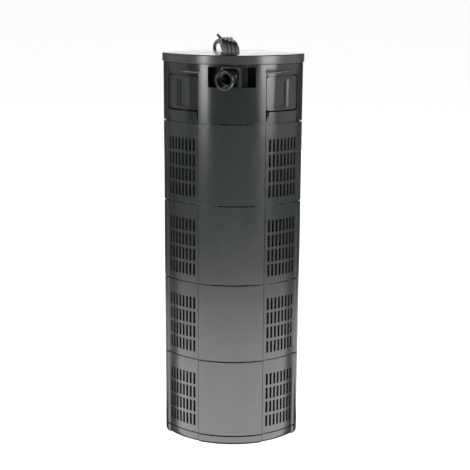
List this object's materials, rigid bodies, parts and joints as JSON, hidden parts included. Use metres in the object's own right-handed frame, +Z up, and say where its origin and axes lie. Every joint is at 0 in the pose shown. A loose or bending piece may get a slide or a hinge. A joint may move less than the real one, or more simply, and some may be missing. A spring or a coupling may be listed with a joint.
{
  "type": "modular corner aquarium filter",
  "caption": "Corner aquarium filter: a pump head with swivelling outlet and two release latches on a stack of foam modules with side intake grilles.",
  "frame": {"origin": "middle of the base tray's flat underside", "axes": "+Z up along the stack, -Y is the rounded front with the outlet, +X is the right side seen from the front"},
  "size_m": [0.1218, 0.1076, 0.3625],
  "materials": {
    "dark_housing": "dark grey moulded plastic, semi-gloss",
    "head_plastic": "near-black moulded plastic, satin gloss",
    "lid_plastic": "dark warm grey moulded plastic, satin gloss",
    "black_plastic": "black moulded plastic",
    "black_rubber": "black nitrile rubber",
    "grey_rubber": "smoky soft vinyl",
    "foam": "dark open-cell filter foam",
    "pale_plastic": "off-white impeller plastic",
    "magnet": "sealed ferrite magnet",
    "ceramic": "white ceramic",
    "potting_resin": "black potting resin",
    "steel": "stainless steel",
    "cord_sheath": "black PVC sheath, soft satin",
    "tie_plastic": "black plastic-coated wire tie",
    "plug_plastic": "black moulded plug body",
    "nickel": "nickel-plated brass"
  },
  "bodies": {
    "base": {"base_tray": "dark_housing"},
    "module_4": {"module_4": "dark_housing", "core_4": "black_plastic", "core_seal_4": "black_rubber", "foam_4": "foam", "wall_cups_lower": "grey_rubber"},
    "module_3": {"module_3": "dark_housing", "core_3": "black_plastic", "core_seal_3": "black_rubber", "foam_3": "foam"},
    "module_2": {"module_2": "dark_housing", "core_2": "black_plastic", "core_seal_2": "black_rubber", "foam_2": "foam"},
    "module_1": {"module_1": "dark_housing", "core_1": "black_plastic", "core_seal_1": "black_rubber", "foam_1": "foam"},
    "head": {"head_housing": "head_plastic", "lid": "lid_plastic", "pump_chamber": "black_plastic", "chamber_seal": "black_rubber", "rotor_shaft": "ceramic", "shaft_bush_upper": "black_rubber", "shaft_bush_lower": "black_rubber", "motor_block": "potting_resin", "motor_screws": "steel", "outlet_socket": "black_plastic", "outlet_duct": "black_plastic", "latch_pin_left": "steel", "latch_pin_right": "steel", "wall_cups_upper": "grey_rubber", "cord_gland": "black_rubber", "cord_lead": "cord_sheath", "cord_hank": "cord_sheath", "cord_tie": "tie_plastic", "cord_tail": "cord_sheath", "plug_body": "plug_plastic", "plug_pins": "nickel"},
    "rotor": {"impeller": "pale_plastic", "rotor_magnet": "magnet"},
    "turret": {"turret": "black_plastic"},
    "spout": {"spout": "head_plastic"},
    "latch_left": {"latch_left": "head_plastic", "latch_spring_left": "steel"},
    "latch_right": {"latch_right": "head_plastic", "latch_spring_right": "steel"}
  },
  "joints": [
    {"name": "module_4_lift", "type": "slide", "parent": "base", "child": "module_4", "axis": [0, 0, 1], "range_m": [0, 0.02]},
    {"name": "module_3_lift", "type": "slide", "parent": "module_4", "child": "module_3", "axis": [0, 0, 1], "range_m": [0, 0.02]},
    {"name": "module_2_lift", "type": "slide", "parent": "module_3", "child": "module_2", "axis": [0, 0, 1], "range_m": [0, 0.02]},
    {"name": "module_1_lift", "type": "slide", "parent": "module_2", "child": "module_1", "axis": [0, 0, 1], "range_m": [0, 0.02]},
    {"name": "head_lift", "type": "slide", "parent": "module_1", "child": "head", "axis": [0, 0, 1], "range_m": [0, 0.025]},
    {"name": "latch_left_press", "type": "hinge", "parent": "head", "child": "latch_left", "pos_m": [-0.03803, -0.01772, 0.333], "axis": [0.7976, -0.6032, 0], "range_deg": [0, 14.1]},
    {"name": "latch_right_press", "type": "hinge", "parent": "head", "child": "latch_right", "pos_m": [0.03803, -0.01772, 0.333], "axis": [0.7976, 0.6032, 0], "range_deg": [0, 14.1]},
    {"name": "rotor_spin", "type": "hinge", "parent": "head", "child": "rotor", "pos_m": [0, 0.00802, 0.3085], "axis": [0, 0, 1], "continuous": true},
    {"name": "outlet_pan", "type": "hinge", "parent": "head", "child": "turret", "pos_m": [0, -0.03398, 0.3277], "axis": [0, 0, 1], "range_deg": [-8, 56]},
    {"name": "outlet_tilt", "type": "hinge", "parent": "turret", "child": "spout", "pos_m": [0, -0.03398, 0.3277], "axis": [-0.9135, 0.4067, 0], "range_deg": [-7, 17]}
  ],
  "couplings": [
    {"joint": "latch_left_press", "follows": "head_lift", "rad_per_m": 9.7738},
    {"joint": "latch_right_press", "follows": "head_lift", "rad_per_m": 9.7738}
  ]
}
